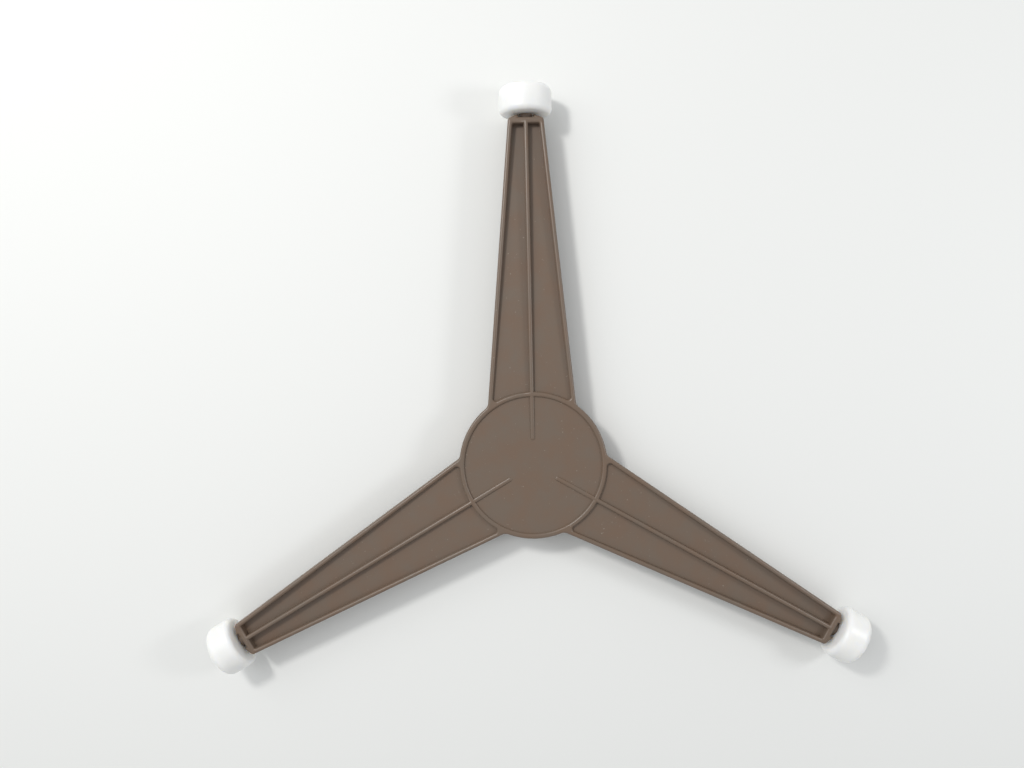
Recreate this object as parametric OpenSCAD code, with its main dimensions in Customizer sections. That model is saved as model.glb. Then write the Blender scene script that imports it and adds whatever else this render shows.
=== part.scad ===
// Three-armed roller support for a microwave turntable, in millimetres.
// A one-piece moulded spider carries three free-running rollers on radial stub axles.
// Origin: on the drive axis, at the mouth of the drive socket. +Z is up, and arm 1 points along +Y.

/* [Rollers] */
// Outer diameter of a roller
roller_d = 18; // [15:0.5:22]
// Length of a roller along its axle
roller_len = 9.5; // [8:0.5:14]
// Edge radius on the side towards the hub
roller_inner_round = 1.6; // [0.4:0.1:2]
// Edge radius on the outer side
roller_outer_round = 2.6; // [1:0.1:3]
// How far the snap head lies below the roller's outer face
head_cover = 0.6; // [0.2:0.1:1]
// Radial room between the snap head and its recess
recess_room = 0.6; // [0.4:0.1:1]

/* [Axles] */
// Diameter of a stub axle
axle_d = 4.8; // [4:0.1:6]
// Radial running clearance between axle and roller bore
axle_clearance = 0.06; // [0.03:0.01:0.1]
// Free play of a roller along its axle, at each end
end_play = 0.3; // [0.2:0.05:0.6]
// How far the snap head stands out past the axle, on the radius
barb = 0.5; // [0.3:0.05:0.8]
// Length of the snap head
head_len = 2.1; // [1.6:0.1:2.3]
// Width of the slot that lets the snap head close
split_w = 1.2; // [0.8:0.1:1.6]
// Length of that slot
split_len = 6; // [4:0.5:7]

/* [Hub] */
// Outer diameter of the hub at its top edge
hub_d = 51; // [42:0.1:62]
// Width of the raised rim
rim_w = 1.9; // [1.4:0.1:3]
// How much narrower the rim is where an arm's channels start
rim_relief = 0.1; // [0.05:0.05:0.5]
// How far the disc lies below the rim
disc_drop = 0.8; // [0.5:0.1:1.2]
// Thickness of the disc
disc_t = 1.6; // [1.2:0.1:2.2]
// Thickness of the skirt under the rim
skirt_t = 2.0; // [1.6:0.1:3]
// Height of the skirt
skirt_h = 10; // [7:0.5:11]
// Distance from the drive axis to the tips of the ribs on the disc
rib_tip_r = 8.7; // [7:0.1:14]
// Height of those ribs at their tips
rib_tip_h = 0.25; // [0.2:0.05:0.5]

/* [Drive socket] */
// Height of the socket's mouth above the surface that the rollers stand on
stance = 2; // [1:0.5:4]
// Diameter of the D-shaped part of the socket
drive_d = 7.1; // [5.9:0.1:8.6]
// How far the flat of the D cuts into that diameter
flat_cut = 0.95; // [0.6:0.05:1.3]
// Step outwards from the D to the round pilot at the mouth
pilot_step = 0.45; // [0.2:0.05:0.8]
// Depth of the pilot
pilot_depth = 2.5; // [1.5:0.5:3.5]
// Wall of the boss round the pilot
boss_wall = 2.0; // [1.4:0.1:3]
// Thickness left above the socket
socket_roof = 2.2; // [1.4:0.1:3]
// Thickness of the webs between boss and skirt
web_t = 1.4; // [1:0.1:2]
// Height of those webs
web_h = 4.6; // [3:0.2:6]

/* [Arms] */
// Height of the rim and of the wall tops above the axles' centre line
crest = 4; // [3.5:0.1:5]
// Distance from the drive axis to the crown of an arm's end
arm_len = 119.6; // [90:0.1:145]
// Width of an arm where it leaves the hub
root_w = 29.4; // [24:0.2:34]
// Width of an arm at its end
tip_w = 11.8; // [10.4:0.2:16]
// Height of an arm
arm_h = 8; // [7:0.5:8.5]
// Thickness of the side walls at their tops
wall_t = 1.6; // [1.2:0.1:2]
// Thickness of the long rib at its top
rib_t = 1.6; // [1.2:0.1:2]
// Thickness of the floor between the walls
floor_t = 1.6; // [1.2:0.1:2]
// Depth of the channel where it meets the hub
channel_root = 1.3; // [1.2:0.1:3]
// Depth of the channel at the end wall
channel_tip = 3.0; // [2:0.1:4.6]
// Thickness of the end wall at its middle
end_t = 3.3; // [3:0.1:5]
// Radius of the crowned end, seen from above
crown_r = 11.5; // [9:0.5:20]
// Radius of the corners beside the crown
corner_r = 1.3; // [0.6:0.1:2]
// Radius of the fillets where the arms leave the hub
fillet_r = 3; // [1.5:0.5:5]
// Radius of the channels' corners between rim and side wall
root_corner_r = 1.0; // [0.6:0.1:2.5]
// Radius of the channels' corners between side wall and end wall
end_corner_r = 0.6; // [0.4:0.1:1.4]
// How deep the notch over an axle's root cuts into the crown
notch_depth = 1.2; // [0.8:0.1:2]
// Draft of the outer faces, in degrees
outer_draft = 2; // [0.5:0.5:3]
// Draft of the channel faces, in degrees
inner_draft = 1; // [0.5:0.5:2]

/* [Hidden] */
$fn = 96;

// Height of the axles, the rim's top and the undersides, from the socket's mouth
axle_z = roller_d / 2 - stance;
top_z = axle_z + crest;
foot_z = top_z - arm_h;
skirt_z = top_z - skirt_h;
disc_z = top_z - disc_drop;
hub_r = hub_d / 2;
// Radius, in the middle of the hub's wall, from which an arm starts
seam_r = hub_r - skirt_t / 2;
axle_r = axle_d / 2;
bore_r = axle_r + axle_clearance;
head_r = axle_r + barb;
drive_flat = drive_d / 2 - flat_cut;
pilot_r = drive_d / 2 + pilot_step;
boss_r = pilot_r + boss_wall;

// Places along an arm, from the drive axis
wall_u = arm_len - end_t;
roller_u = arm_len + end_play;
recess_depth = end_play + head_len + head_cover;
shoulder_u = roller_u + roller_len - recess_depth;
head_u = shoulder_u + end_play;
axle_end_u = head_u + head_len;

// Angle in plan between an arm's side and its centre line
taper = atan((root_w - tip_w) / 2 / (arm_len - hub_r));
// Slope of the channel floor
fall = atan((channel_tip - channel_root) / (wall_u - hub_r));

ARM_ANGLES = [90, 210, 330];
// Overrun of a cutter past the face that it opens
over = 1;
// Edge of a block that stands for the space beyond a plane
big = 300;
// Depth that joined pieces share
bite = 0.4;
// Gap beside the axle in its notch
notch_side = 0.25;
// Small extra radius of a rounding, so that no two faces only touch along a line
graze = 0.02;
// Length over which a rib on the disc keeps the rim's height
rib_level = 0.5;

// Half the width of an arm's top at distance u from the drive axis
function half_w(u) = root_w / 2 - (u - hub_r) * tan(taper);
// Distance from the drive axis to the line of an arm's side
side_d = half_w(0) * cos(taper);
// Straight out from that line
side_out = [sin(taper), cos(taper)];
// The point that lies reach away from the drive axis, and off away from a line through it
// along an arm's side
function by_side(reach, off) =
    sqrt(reach * reach - off * off) * [cos(taper), -sin(taper)] + off * side_out;

// All the space beyond a side of an arm: the plane lies inset from the edge at height z
// and leans inwards by lean degrees going down
module beyond_side(inset, z, lean)
    translate([hub_r, root_w / 2, z])
        rotate([0, 0, -taper])
            translate([0, -inset, 0])
                rotate([-lean, 0, 0])
                    translate([-big / 2, 0, -big / 2])
                        cube([big, big, big]);

// All the space below the channel floor, lowered by drop
module below_floor(drop)
    translate([hub_r, 0, top_z - channel_root - drop])
        rotate([0, fall, 0])
            translate([-big / 2, -big / 2, -big])
                cube([big, big, big]);

// Plan of an arm, with its crown and two rounded corners; the sides are cut off later
module arm_plan() {
    crown_u = arm_len - crown_r;
    reach = crown_r - corner_r;
    // A corner's centre lies inside the side by corner_r, and inside the crown by corner_r
    side_off = half_w(crown_u) * cos(taper) - corner_r;
    lean = asin(side_off / reach) - taper;
    corner = [crown_u + reach * cos(lean), reach * sin(lean)];
    // Points past the outline, straight out from that centre towards the side and the crown
    past_side = corner + root_w * side_out;
    past_crown = corner + crown_r * [cos(lean), sin(lean)];
    intersection() {
        for (side = [0, 1])
            mirror([0, side]) {
                translate(corner) circle(corner_r + graze);
                polygon([[0, -corner.y], [0, root_w], past_side, corner, past_crown,
                         [past_crown.x, -corner.y]]);
            }
        union() {
            translate([crown_u, 0]) circle(crown_r);
            translate([hub_r / 2, -2 * root_w]) square([crown_u - hub_r / 2, 4 * root_w]);
        }
    }
}

// Fillet between an arm's side and the hub, leaning with both drafts
module root_fillet() {
    centre = by_side(hub_r + fillet_r, side_d + fillet_r);
    difference() {
        translate([0, 0, foot_z])
            linear_extrude(arm_h + over)
                polygon([[0, 0], centre - fillet_r * side_out, centre]);
        translate([centre.x, centre.y, foot_z - over])
            cylinder(h = arm_h + 3 * over,
                     r1 = fillet_r + graze + (arm_h + over) * tan(outer_draft),
                     r2 = fillet_r + graze - 2 * over * tan(outer_draft));
    }
}

// Outer form of an arm: tapered in plan, drafted sides, crowned end, fillets at the hub.
// It starts inside the hub's wall and is left too tall, as the hub is: one cut trims all tops.
module arm_blank()
    difference() {
        union() {
            difference() {
                translate([0, 0, foot_z])
                    linear_extrude(arm_h + over)
                        arm_plan();
                for (side = [0, 1])
                    mirror([0, side, 0])
                        beyond_side(0, top_z, outer_draft);
            }
            for (side = [0, 1])
                mirror([0, side, 0])
                    root_fillet();
        }
        cylinder(h = big, r = seam_r, center = true);
    }

// Upright body that has radius r at height 0 and widens downwards by the draft
module drafted(r)
    translate([0, 0, -arm_h])
        cylinder(h = arm_h + over,
                 r1 = r + arm_h * tan(inner_draft), r2 = r - over * tan(inner_draft));

// The block that stays in a channel's corner round the point centre, towards p and q
module corner_block(centre, r, p, q)
    difference() {
        translate([0, 0, -arm_h])
            linear_extrude(arm_h + over)
                polygon([centre, p, q]);
        translate([centre.x, centre.y, -arm_h])
            cylinder(h = arm_h + over,
                     r1 = r + graze - arm_h * tan(inner_draft),
                     r2 = r + graze + over * tan(inner_draft));
    }

// Space of one channel on the +Y side of the rib. Its mouth is at height 0, where the side
// wall is inset thick, and it narrows downwards.
module channel_space(inset) {
    start_r = hub_r - rim_relief;
    root_centre = by_side(start_r + root_corner_r, side_d - inset - root_corner_r);
    end_u = wall_u - end_corner_r;
    end_centre = [end_u, half_w(end_u) - (inset + end_corner_r) / cos(taper)];
    difference() {
        translate([hub_r / 2, 0, -arm_h])
            cube([arm_len, root_w, arm_h + over]);
        beyond_side(inset, 0, inner_draft);
        translate([0, rib_t / 2, 0])
            rotate([inner_draft, 0, 0])
                translate([-big / 2, -big, -big / 2])
                    cube([big, big, big]);
        translate([wall_u, 0, 0])
            rotate([0, inner_draft, 0])
                translate([0, -big / 2, -big / 2])
                    cube([big, big, big]);
        drafted(start_r);
        corner_block(root_centre, root_corner_r, [0, 0], root_centre + root_w * side_out);
        corner_block(end_centre, end_corner_r, end_centre + root_w * side_out, end_centre + [root_w, 0]);
    }
}

// The channels of one arm, two open above and two open below, on the sloping floor
module channels()
    for (side = [0, 1])
        mirror([0, side, 0]) {
            difference() {
                translate([0, 0, top_z])
                    channel_space(wall_t);
                below_floor(0);
            }
            intersection() {
                translate([0, 0, foot_z])
                    mirror([0, 0, 1])
                        channel_space(wall_t + arm_h * tan(outer_draft));
                below_floor(floor_t);
            }
        }

// Notch over the axle's root, which leaves the top half of the axle in view
module axle_notch()
    translate([arm_len - notch_depth, -axle_r - notch_side, axle_z])
        cube([crown_r, axle_d + 2 * notch_side, top_z]);

// Stub axle with a split snap head
module axle()
    translate([0, 0, axle_z])
        difference() {
            rotate([0, 90, 0])
                union() {
                    translate([0, 0, wall_u + bite])
                        cylinder(h = head_u - wall_u, r = axle_r);
                    translate([0, 0, head_u])
                        cylinder(h = head_len / 4, r = head_r);
                    translate([0, 0, head_u + head_len / 4])
                        cylinder(h = head_len * 3 / 4, r1 = head_r, r2 = axle_r - barb);
                }
            translate([axle_end_u - split_len, -split_w / 2, -head_r - over])
                cube([split_len + over, split_w, 2 * (head_r + over)]);
        }

// Rib that carries an arm's long rib across the rim and runs out on the disc
module disc_rib() {
    // Its top rises to the rim's height at this distance from the drive axis
    level_u = hub_r - rim_w - rib_level;
    slope = (disc_drop - rib_tip_h) / (level_u - rib_tip_r);
    tip_z = disc_z + rib_tip_h;
    intersection() {
        translate([0, rib_t / 2, 0])
            rotate([90, 0, 0])
                linear_extrude(rib_t)
                    polygon([[rib_tip_r, disc_z - bite], [hub_r, disc_z - bite],
                             [hub_r, tip_z + slope * (hub_r - rib_tip_r)], [rib_tip_r, tip_z]]);
        linear_extrude(big)
            union() {
                translate([rib_tip_r + rib_t / 2, 0]) circle(rib_t / 2);
                translate([rib_tip_r + rib_t / 2, -rib_t]) square([hub_r, 2 * rib_t]);
            }
    }
}

// Drive socket: a round pilot at the mouth, then a D
module socket() {
    translate([0, 0, -over])
        cylinder(h = pilot_depth + over, r = pilot_r);
    linear_extrude(disc_z - socket_roof)
        intersection() {
            circle(drive_d / 2);
            translate([-drive_d, -drive_flat]) square([2 * drive_d, 2 * drive_d]);
        }
}

// Boss and the webs that tie it to the skirt
module boss() {
    ceiling = disc_z - disc_t;
    cylinder(h = ceiling + bite, r = boss_r);
    for (a = [0 : 5])
        rotate([0, 0, 30 + 60 * a])
            translate([boss_r - bite, -web_t / 2, ceiling - web_h])
                cube([seam_r + bite - boss_r, web_t, web_h + bite]);
}

// Outer form of the hub, left too tall
module hub_blank()
    translate([0, 0, skirt_z])
        cylinder(h = skirt_h + 2 * over,
                 r1 = hub_r - skirt_h * tan(outer_draft), r2 = hub_r + 2 * over * tan(outer_draft));

// The shallow recess over the disc, in which the ribs stay, and the hollow under the disc
module hub_hollows() {
    difference() {
        translate([0, 0, disc_z])
            cylinder(h = disc_drop + over, r = hub_r - rim_w);
        for (a = ARM_ANGLES)
            rotate([0, 0, a]) disc_rib();
    }
    translate([0, 0, skirt_z - over])
        cylinder(h = disc_z - disc_t - skirt_z + over, r = hub_r - skirt_t);
}

// The moulding without its axles and boss
module shell()
    difference() {
        union() {
            hub_blank();
            for (a = ARM_ANGLES)
                rotate([0, 0, a]) arm_blank();
        }
        translate([-big / 2, -big / 2, top_z])
            cube([big, big, big]);
        hub_hollows();
        for (a = ARM_ANGLES)
            rotate([0, 0, a]) {
                channels();
                axle_notch();
            }
    }

// The whole moulding
module spider()
    color([0.46, 0.41, 0.36])
        difference() {
            union() {
                shell();
                boss();
                for (a = ARM_ANGLES)
                    rotate([0, 0, a]) axle();
            }
            socket();
        }

// Half section of a roller: x is the radius, and y runs along the axle from the inner face
module roller_section() {
    r = roller_d / 2;
    outer_corner = [r - roller_outer_round, roller_len - roller_outer_round];
    difference() {
        union() {
            square([r - roller_inner_round, roller_len]);
            translate([0, roller_inner_round])
                square([r, roller_len - roller_inner_round]);
            translate([r - roller_inner_round, roller_inner_round])
                circle(roller_inner_round);
        }
        translate(outer_corner)
            difference() {
                square([r, roller_len]);
                circle(roller_outer_round);
            }
        translate([-over, -over])
            square([bore_r + over, roller_len + 2 * over]);
        translate([-over, roller_len - recess_depth])
            square([head_r + recess_room + over, recess_depth + over]);
    }
}

// Roller that turns on the axle of the arm at angle a
module roller(a)
    color([0.97, 0.97, 0.96])
        rotate([0, 0, a])
            translate([roller_u, 0, axle_z])
                rotate([0, 90, 0])
                    rotate_extrude()
                        roller_section();

module roller_1() roller(ARM_ANGLES[0]);
module roller_2() roller(ARM_ANGLES[1]);
module roller_3() roller(ARM_ANGLES[2]);

spider();
roller_1();
roller_2();
roller_3();
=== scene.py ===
# %% [markdown]
# # A three-armed roller support for a microwave turntable
#
# Under the glass tray of a microwave oven lies a small tripod: one brown plastic moulding that the
# motor's shaft turns, with a white roller on the end of each arm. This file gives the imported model
# its looks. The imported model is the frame: it fixes every size and place, and nothing here moves it.

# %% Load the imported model
import math

import bmesh
import bpy
from mathutils import Matrix, Vector


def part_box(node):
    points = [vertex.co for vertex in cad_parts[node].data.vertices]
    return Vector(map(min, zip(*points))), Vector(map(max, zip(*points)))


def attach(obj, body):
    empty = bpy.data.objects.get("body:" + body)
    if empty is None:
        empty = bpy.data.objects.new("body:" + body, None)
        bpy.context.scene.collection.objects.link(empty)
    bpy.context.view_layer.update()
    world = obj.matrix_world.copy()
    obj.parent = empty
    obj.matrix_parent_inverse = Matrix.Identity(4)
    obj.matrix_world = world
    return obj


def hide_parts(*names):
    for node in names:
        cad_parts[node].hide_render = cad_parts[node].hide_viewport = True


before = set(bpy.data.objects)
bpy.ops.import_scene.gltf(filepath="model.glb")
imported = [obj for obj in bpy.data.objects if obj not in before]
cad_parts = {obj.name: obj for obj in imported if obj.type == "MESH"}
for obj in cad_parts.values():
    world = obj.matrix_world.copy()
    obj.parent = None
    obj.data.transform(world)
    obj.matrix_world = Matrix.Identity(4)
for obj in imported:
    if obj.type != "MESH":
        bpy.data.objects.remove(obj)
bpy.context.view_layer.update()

MM = 0.001

# %% [markdown]
# ## Sizes from the frame
#
# The axles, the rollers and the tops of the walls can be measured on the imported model, so they are
# taken from it and not typed in again. Arm 1 points along +Y, and the other two are a third of a
# turn away from it on either side.

# %% Measure the frame
roller_low, roller_high = (Vector(corner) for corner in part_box("roller_1"))
ROLLER_R = (roller_high.z - roller_low.z) / 2
ROLLER_LEN = roller_high.y - roller_low.y
ROLLER_U = roller_low.y
AXLE_Z = (roller_high.z + roller_low.z) / 2
FLOOR_Z = roller_low.z
TOP_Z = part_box("spider")[1][2]
ARMS = {1: math.radians(90), 2: math.radians(210), 3: math.radians(330)}
print("Axles lie", round((AXLE_Z - FLOOR_Z) / MM, 2), "mm above the floor")
print("Rollers start", round(ROLLER_U / MM, 2), "mm from the drive axis")

# %% [markdown]
# ## Camera
#
# The reference view looks down from about 30 cm and is tilted by two and a half degrees. The
# place, the tilt and the lens were fitted to that view, so the model covers the same part of the
# picture. A phone or compact camera has a short lens like this one.

# %% Place the camera
CAMERA_AT = Vector((-2.894, 40.085, 296.742)) * MM
CAMERA_TURN = [math.radians(a) for a in (-2.403, 0.703, -1.321)]
camera = bpy.data.objects.new("camera", bpy.data.cameras.new("camera"))
camera.location = CAMERA_AT
camera.rotation_euler = CAMERA_TURN
camera.data.sensor_width = 36
camera.data.lens = 29.42
camera.data.clip_start = 0.01
camera.data.clip_end = 20
bpy.context.collection.objects.link(camera)
bpy.context.scene.camera = camera
print("Camera", round(CAMERA_AT.length / MM), "mm from the drive axis")

# %% [markdown]
# ## Helpers
#
# Every finish is a small tree of nodes, so two helpers are worth having: one starts a material and
# hands back its tree and shader, and the other adds a node with its settings in one line. The two
# kinds of node that mix have sockets that share a name, so those sockets go by number.

# %% Helpers for node trees
SHADER_FACTOR, SHADER_FIRST, SHADER_SECOND = 0, 1, 2
COLOUR_FACTOR, COLOUR_FIRST, COLOUR_SECOND = 0, 6, 7
COLOUR_RESULT = 2


def new_material(name):
    """An empty node material with its shader, and the two handles that every finish needs."""
    material = bpy.data.materials.new(name)
    material.use_nodes = True
    tree = material.node_tree
    return material, tree, tree.nodes["Principled BSDF"]


def add(tree, kind, **settings):
    """A node of this kind; a setting with the name of an input sets that input."""
    node = tree.nodes.new(kind)
    for key, value in settings.items():
        if key in node.inputs:
            node.inputs[key].default_value = value
        else:
            setattr(node, key, value)
    return node


# %% [markdown]
# ## Floor, world and lamps
#
# The surface under the part is pale and plain. Its colour is set so that, in this light, it shows
# a light grey, and the white rollers still stand out against it. Far from the part it fades out
# into the background, so that a soft band shows from the side and no hard horizon. A small lamp on
# the upper left gives the shadows beside the arms, a large one behind it softens the light and
# lets it fall off to the lower right, and a weak one fills in from the right. The world adds the
# rest, evenly from all sides, and shows itself to the camera in a pale grey like the floor's.

# %% Make the floor
FLOOR_SIZE = 3.0
FADE_FROM = 0.30
FADE_TO = 0.75
mesh = bpy.data.meshes.new("floor")
bm = bmesh.new()
bmesh.ops.create_circle(bm, cap_ends=True, segments=96, radius=FLOOR_SIZE)
bmesh.ops.translate(bm, verts=bm.verts, vec=(0, 0, FLOOR_Z))
bm.to_mesh(mesh)
bm.free()
floor = bpy.data.objects.new("floor", mesh)
bpy.context.collection.objects.link(floor)
floor_paint, tree, shader = new_material("floor_paint")
shader.inputs["Base Color"].default_value = (0.835, 0.84, 0.822, 1)
shader.inputs["Roughness"].default_value = 0.6
shader.inputs["Specular IOR Level"].default_value = 0.2
place = add(tree, "ShaderNodeTexCoord").outputs["Object"]
far = add(tree, "ShaderNodeVectorMath", operation="LENGTH")
fade = add(tree, "ShaderNodeMapRange", interpolation_type="SMOOTHSTEP")
fade.inputs["From Min"].default_value = FADE_FROM
fade.inputs["From Max"].default_value = FADE_TO
blend = add(tree, "ShaderNodeMixShader")
tree.links.new(place, far.inputs[0])
tree.links.new(far.outputs["Value"], fade.inputs["Value"])
tree.links.new(fade.outputs["Result"], blend.inputs[SHADER_FACTOR])
tree.links.new(shader.outputs["BSDF"], blend.inputs[SHADER_FIRST])
tree.links.new(add(tree, "ShaderNodeBsdfTransparent").outputs["BSDF"], blend.inputs[SHADER_SECOND])
tree.links.new(blend.outputs["Shader"], tree.nodes["Material Output"].inputs["Surface"])
mesh.materials.append(floor_paint)
print("Floor lies at", round(FLOOR_Z / MM, 2), "mm")

# %% Set the world
world = bpy.data.worlds.new("studio")
bpy.context.scene.world = world
world.use_nodes = True
tree = world.node_tree
sky = tree.nodes["Background"]
sky.inputs["Color"].default_value = (0.97, 0.985, 1.0, 1)
sky.inputs["Strength"].default_value = 0.50
backdrop = add(tree, "ShaderNodeBackground", Color=(0.86, 0.865, 0.86, 1), Strength=1.0)
seen = add(tree, "ShaderNodeMixShader")
tree.links.new(add(tree, "ShaderNodeLightPath").outputs["Is Camera Ray"], seen.inputs[SHADER_FACTOR])
tree.links.new(sky.outputs["Background"], seen.inputs[SHADER_FIRST])
tree.links.new(backdrop.outputs["Background"], seen.inputs[SHADER_SECOND])
tree.links.new(seen.outputs["Shader"], tree.nodes["World Output"].inputs["Surface"])
bpy.context.scene.view_settings.view_transform = "Standard"
print("The world shines with a strength of", round(sky.inputs["Strength"].default_value, 2))


# %% Hang the lamps
def lamp(name, place, size, watts, colour):
    """A soft round lamp at a place given in metres, aimed at the hub."""
    data = bpy.data.lights.new(name, "AREA")
    data.shape = "DISK"
    data.size = size
    data.energy = watts
    data.color = colour
    item = bpy.data.objects.new(name, data)
    item.location = place
    item.rotation_euler = (-Vector(place)).to_track_quat("-Z", "Y").to_euler()
    item.visible_camera = False
    bpy.context.collection.objects.link(item)
    print(name, "hangs", round(Vector(place).length, 2), "m away")


lamp("main_lamp", (-0.276, 0.287, 0.491), 0.09, 1.38, (1.0, 0.99, 0.97))
lamp("soft_lamp", (-0.7, 0.45, 0.9), 1.2, 4.2, (0.98, 0.99, 1.0))
lamp("fill_lamp", (0.42, 0.06, 0.32), 0.12, 0.48, (0.97, 0.98, 1.0))

# %% [markdown]
# ## Finish of the moulding
#
# The spider is a filled, heat-proof plastic in a taupe brown. Its surface has the soft sheen of a
# finely eroded mould, and its colour is not quite even: it drifts between a warmer and a greyer
# brown over a centimetre or so. One slow noise mixes the two browns and varies the gloss with
# them, a finer one sets in a few faint flecks of filler, and the finest gives the bump its grain.


# %% Taupe plastic
def taupe_plastic():
    material, tree, shader = new_material("taupe_plastic")
    place = add(tree, "ShaderNodeTexCoord").outputs["Object"]
    drift = add(tree, "ShaderNodeTexNoise", Scale=110, Detail=3, Roughness=0.6)
    ramp = add(tree, "ShaderNodeValToRGB")
    ramp.color_ramp.elements[0].position = 0.36
    ramp.color_ramp.elements[0].color = (0.163, 0.109, 0.075, 1)
    ramp.color_ramp.elements[1].position = 0.64
    ramp.color_ramp.elements[1].color = (0.154, 0.114, 0.084, 1)
    tree.links.new(place, drift.inputs["Vector"])
    tree.links.new(drift.outputs["Fac"], ramp.inputs["Fac"])
    filler = add(tree, "ShaderNodeTexNoise", Scale=1300, Detail=1)
    flecks = add(tree, "ShaderNodeMapRange", **{"From Min": 0.74, "From Max": 0.80})
    paler = add(tree, "ShaderNodeMix", data_type="RGBA")
    paler.inputs[COLOUR_SECOND].default_value = (0.25, 0.205, 0.165, 1)
    tree.links.new(place, filler.inputs["Vector"])
    tree.links.new(filler.outputs["Fac"], flecks.inputs["Value"])
    tree.links.new(flecks.outputs["Result"], paler.inputs[COLOUR_FACTOR])
    tree.links.new(ramp.outputs["Color"], paler.inputs[COLOUR_FIRST])
    tree.links.new(paler.outputs[COLOUR_RESULT], shader.inputs["Base Color"])
    grain = add(tree, "ShaderNodeTexNoise", Scale=3500, Detail=2)
    bump = add(tree, "ShaderNodeBump", Strength=0.12, Distance=0.00005)
    tree.links.new(place, grain.inputs["Vector"])
    tree.links.new(grain.outputs["Fac"], bump.inputs["Height"])
    tree.links.new(bump.outputs["Normal"], shader.inputs["Normal"])
    gloss = add(tree, "ShaderNodeMapRange", **{"To Min": 0.31, "To Max": 0.42})
    tree.links.new(drift.outputs["Fac"], gloss.inputs["Value"])
    tree.links.new(gloss.outputs["Result"], shader.inputs["Roughness"])
    shader.inputs["IOR"].default_value = 1.54
    return material


taupe = taupe_plastic()
print("Finish of the moulding:", taupe.name)

# %% [markdown]
# ## Finish of the rollers
#
# The rollers are a natural white plastic that lets a little light in under its skin, so its
# shadows stay soft and pale. The gloss is a little higher than the moulding's.


# %% White plastic
def white_plastic():
    material, tree, shader = new_material("white_plastic")
    place = add(tree, "ShaderNodeTexCoord").outputs["Object"]
    drift = add(tree, "ShaderNodeTexNoise", Scale=220, Detail=3)
    ramp = add(tree, "ShaderNodeValToRGB")
    ramp.color_ramp.elements[0].position = 0.3
    ramp.color_ramp.elements[0].color = (0.855, 0.855, 0.84, 1)
    ramp.color_ramp.elements[1].position = 0.7
    ramp.color_ramp.elements[1].color = (0.885, 0.885, 0.87, 1)
    tree.links.new(place, drift.inputs["Vector"])
    tree.links.new(drift.outputs["Fac"], ramp.inputs["Fac"])
    tree.links.new(ramp.outputs["Color"], shader.inputs["Base Color"])
    gloss = add(tree, "ShaderNodeMapRange", **{"To Min": 0.28, "To Max": 0.42})
    tree.links.new(drift.outputs["Fac"], gloss.inputs["Value"])
    tree.links.new(gloss.outputs["Result"], shader.inputs["Roughness"])
    shader.inputs["Subsurface Weight"].default_value = 1.0
    shader.inputs["Subsurface Radius"].default_value = (1.0, 0.95, 0.85)
    shader.inputs["Subsurface Scale"].default_value = 0.004
    return material


white = white_plastic()
print("Finish of the rollers:", white.name)

# %% [markdown]
# ## The moulding
#
# The real spider comes out of one mould, and no edge of it is sharp: the tops of the walls, the
# rim and the ribs are rounded like beads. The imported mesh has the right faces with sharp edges,
# so a copy of it is the start. Its loose triangles are merged, and faces that lie in one plane are
# joined, so that an edge is there only where the surface turns.

# %% Copy the moulding's mesh
WELD = 0.0002 * MM
FLAT = math.radians(0.3)
SHARP = math.radians(35)
bm = bmesh.new()
bm.from_mesh(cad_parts["spider"].data)
bmesh.ops.remove_doubles(bm, verts=bm.verts, dist=WELD)
bmesh.ops.dissolve_limit(bm, angle_limit=FLAT, verts=bm.verts, edges=bm.edges)
print("The merged moulding has", len(bm.faces), "faces")

# %% [markdown]
# Three ribs run out on the disc and get lower towards its middle. Rounding is simplest while all
# tops lie in one plane, so the ribs are raised to the rim's height first. They are lowered again
# after the rounding, which also flattens their rounding towards the tips, as on the real part.

# %% Raise the ribs on the disc
RIM_INSIDE = 23.55 * MM
DISC_Z = 10.2 * MM
ribs = [
    vert for vert in bm.verts
    if vert.co.xy.length < RIM_INSIDE and vert.co.z > DISC_Z + WELD
]
RIB_LOW = min(vert.co.z for vert in ribs) - DISC_Z
RIB_TIP = min(vert.co.xy.length for vert in ribs)
RIB_START = max(vert.co.xy.length for vert in ribs)
for vert in ribs:
    vert.co.z = TOP_Z
bm.normal_update()
print("Raised", len(ribs), "vertices; the rib tips stood", round(RIB_LOW / MM, 2), "mm high")

# %% [markdown]
# A bevel could round the tops, but it twists where the corners of the channels are made of very
# short edges. The tops are one flat region with a clean outline, so they are rounded in another
# way: the region sinks by the radius, and then comes up again in a few insets, each a step along a
# quarter circle. Each inset follows the outline, however short its edges are. Vertices of the walls
# that stand just under the tops go down first, or the sunk outline would pass them.

# %% Round the tops
TOP_ROUND = 0.75 * MM
ROUND_STEPS = 4
LEVEL = 0.999
GAP = 0.05 * MM
tops = [
    face for face in bm.faces
    if face.normal.z > LEVEL and abs(face.calc_center_median().z - TOP_Z) < WELD
]
outline = {vert for face in tops for vert in face.verts}
clear = TOP_Z - TOP_ROUND - GAP
close = [vert for vert in bm.verts if vert not in outline and vert.co.z > clear]
for vert in close:
    vert.co.z = clear
print("Moved", len(close), "vertices clear of the tops")
for vert in outline:
    vert.co.z -= TOP_ROUND
bm.normal_update()
corner = math.radians(90) / ROUND_STEPS
for step in range(ROUND_STEPS):
    inwards = math.cos(step * corner) - math.cos((step + 1) * corner)
    upwards = math.sin((step + 1) * corner) - math.sin(step * corner)
    bmesh.ops.inset_region(
        bm, faces=tops, thickness=inwards * TOP_ROUND, depth=upwards * TOP_ROUND,
        use_even_offset=True, use_boundary=True,
    )
print("The tops are one region of", len(tops), "faces, rounded with", round(TOP_ROUND / MM, 2), "mm")

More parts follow.
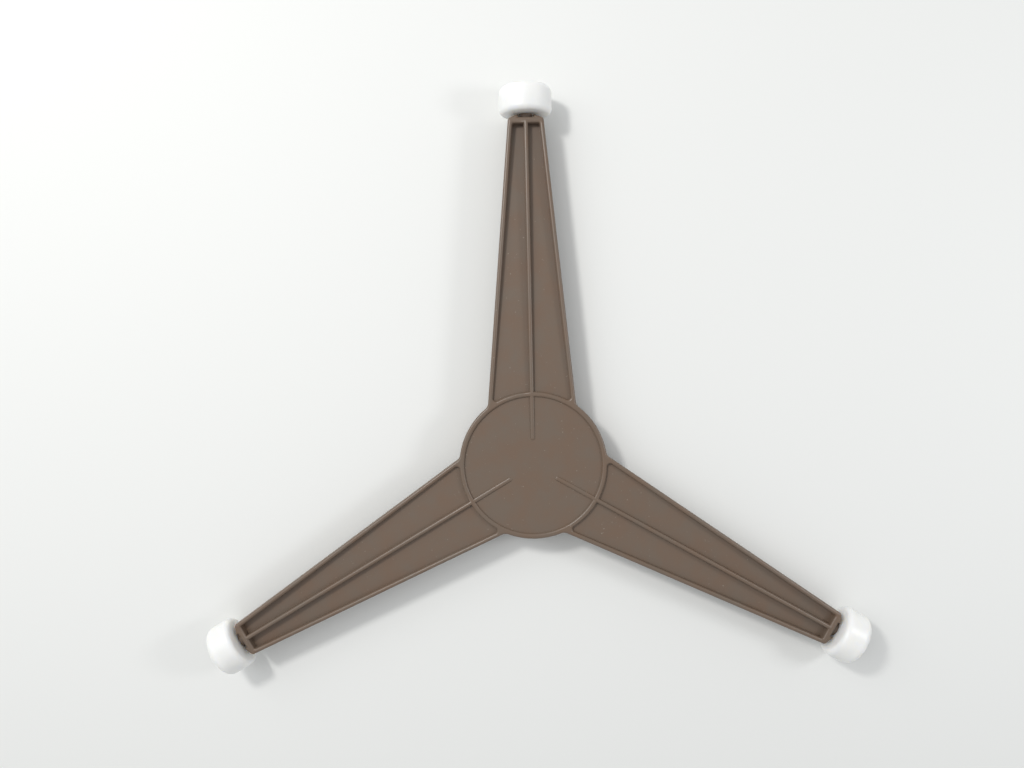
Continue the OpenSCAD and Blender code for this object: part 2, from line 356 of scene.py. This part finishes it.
# %% [markdown]
# The lower edges have fewer short pieces, so the bevel operator rounds them where it has room. Some
# stay sharp, all of them underneath. The drive socket keeps its mouth and its steps. At the arms'
# lower level, no edge is rounded that comes nearer to the axis than 27 mm: the fillets run into the
# hub in cusps there, and the long inner edges of channels and ribs start there, so they stay sharp
# over their whole length. The inner corners at an arm's far end have no room either. Vertices of
# the walls just above that level go up first, to make room for the rounding.

# %% Round the lower edges
LOW_ROUND = 0.3 * MM
SOCKET_R = 4.5 * MM
FOOT_Z = 3 * MM
CLEAR_OF_HUB = 27 * MM
CHANNEL_END = (115 * MM, 117 * MM)
room = FOOT_Z + 2 * LOW_ROUND
close = [vert for vert in bm.verts if FOOT_Z + WELD < vert.co.z < room]
for vert in close:
    vert.co.z = room
print("Moved", len(close), "vertices clear of the arms' lower level")


def is_lower_edge(edge):
    """Whether an edge lies level on the underside and turns outwards."""
    heights = [vert.co.z for vert in edge.verts]
    if abs(heights[0] - heights[1]) > WELD or heights[0] > FOOT_Z + WELD:
        return False
    reach = min(vert.co.xy.length for vert in edge.verts)
    if heights[0] > FOOT_Z - WELD and reach < CLEAR_OF_HUB:
        return False
    if reach < SOCKET_R or CHANNEL_END[0] < reach < CHANNEL_END[1]:
        return False
    return edge.is_manifold and edge.calc_face_angle_signed(0) > SHARP


lower_edges = [edge for edge in bm.edges if is_lower_edge(edge)]
bmesh.ops.bevel(
    bm, geom=lower_edges, affect="EDGES", offset=LOW_ROUND, segments=3, profile=0.5,
    material=-1, clamp_overlap=False, loop_slide=False,
)
print(len(lower_edges), "lower edges rounded")

# %% [markdown]
# Now the ribs on the disc come down again. At each distance from the axis, every height above the
# disc shrinks in the same proportion as the height of the rib, so the rounding gets flatter too.

# %% Lower the ribs again
FULL = TOP_Z - DISC_Z
for vert in bm.verts:
    if vert.co.xy.length < RIM_INSIDE and vert.co.z > DISC_Z + WELD:
        reach = (vert.co.xy.length - RIB_TIP) / (RIB_START - RIB_TIP)
        height = RIB_LOW + (FULL - RIB_LOW) * min(max(reach, 0), 1)
        vert.co.z = DISC_Z + (vert.co.z - DISC_Z) * height / FULL
bm.normal_update()
print("The ribs fall from", round(FULL / MM, 2), "to", round(RIB_LOW / MM, 2), "mm")

# %% [markdown]
# All faces shade smoothly except across edges that turn by more than a set angle, which stay
# crisp. The weighted normals keep the flat faces flat beside the small ones of the roundings.

# %% Make the moulding an object
for face in bm.faces:
    face.smooth = True
for edge in bm.edges:
    edge.smooth = edge.calc_face_angle(0) < SHARP
mesh = bpy.data.meshes.new("spider_moulding")
bm.to_mesh(mesh)
bm.free()
moulding = bpy.data.objects.new("spider_moulding", mesh)
bpy.context.collection.objects.link(moulding)
even = moulding.modifiers.new("even_shading", "WEIGHTED_NORMAL")
even.keep_sharp = True
mesh.materials.append(taupe)
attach(moulding, "spider")
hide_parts("spider")
print("The finished moulding has", len(mesh.polygons), "faces")

# %% [markdown]
# ## The rollers
#
# A roller is a turned shape, so it is spun from half a section: a bore through it, a recess at the
# outer end for the snap head, and a rounded edge at each end, the outer one larger. The mouths of
# the bore and the recess have small roundings too. Spinning the sharp section first and rounding
# the rings after it keeps each radius a single value.

# %% Half a section of a roller
BORE_R = 2.46 * MM
RECESS_R = 3.5 * MM
RECESS_DEPTH = 3.0 * MM
INNER_ROUND = 1.6 * MM
OUTER_ROUND = 2.6 * MM
MOUTH_ROUND = 0.35 * MM
SPIN_STEPS = 96
SECTION = [
    (BORE_R, 0), (ROLLER_R, 0), (ROLLER_R, ROLLER_LEN), (RECESS_R, ROLLER_LEN),
    (RECESS_R, ROLLER_LEN - RECESS_DEPTH), (BORE_R, ROLLER_LEN - RECESS_DEPTH),
]
print("A roller is", round(2 * ROLLER_R / MM, 1), "by", round(ROLLER_LEN / MM, 1), "mm")


def ring_edges(bm, radius, height):
    """The edges of the ring with this radius at this height, all round."""
    def on_ring(vert):
        return abs(vert.co.xy.length - radius) < WELD and abs(vert.co.z - height) < WELD
    return [edge for edge in bm.edges if all(on_ring(vert) for vert in edge.verts)]


def roller(number):
    """Spins one roller upright, rounds its rings, and lays it on its axle."""
    bm = bmesh.new()
    verts = [bm.verts.new((radius, 0, height)) for radius, height in SECTION]
    edges = [bm.edges.new((a, b)) for a, b in zip(verts, verts[1:] + verts[:1])]
    bmesh.ops.spin(
        bm, geom=verts + edges, cent=(0, 0, 0), axis=(0, 0, 1), angle=math.tau,
        steps=SPIN_STEPS, use_merge=True,
    )
    rounds = [
        (ROLLER_R, 0, INNER_ROUND, 6), (ROLLER_R, ROLLER_LEN, OUTER_ROUND, 10),
        (RECESS_R, ROLLER_LEN, MOUTH_ROUND, 4), (BORE_R, 0, MOUTH_ROUND, 4),
    ]
    for radius, height, size, segments in rounds:
        bmesh.ops.bevel(
            bm, geom=ring_edges(bm, radius, height), affect="EDGES", offset=size,
            segments=segments, profile=0.5, material=-1, clamp_overlap=False,
        )
    bmesh.ops.remove_doubles(bm, verts=bm.verts, dist=WELD)
    bmesh.ops.recalc_face_normals(bm, faces=bm.faces)
    lay = (
        Matrix.Rotation(ARMS[number], 4, "Z")
        @ Matrix.Translation((ROLLER_U, 0, AXLE_Z))
        @ Matrix.Rotation(math.radians(90), 4, "Y")
    )
    bmesh.ops.transform(bm, matrix=lay, verts=bm.verts)
    for face in bm.faces:
        face.smooth = True
    mesh = bpy.data.meshes.new(f"roller_{number}_white")
    bm.to_mesh(mesh)
    bm.free()
    piece = bpy.data.objects.new(f"roller_{number}_white", mesh)
    bpy.context.collection.objects.link(piece)
    even = piece.modifiers.new("even_shading", "WEIGHTED_NORMAL")
    even.keep_sharp = True
    mesh.materials.append(white)
    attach(piece, f"roller_{number}")
    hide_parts(f"roller_{number}")
    print(piece.name, "has", len(mesh.polygons), "faces")


for number in ARMS:
    roller(number)
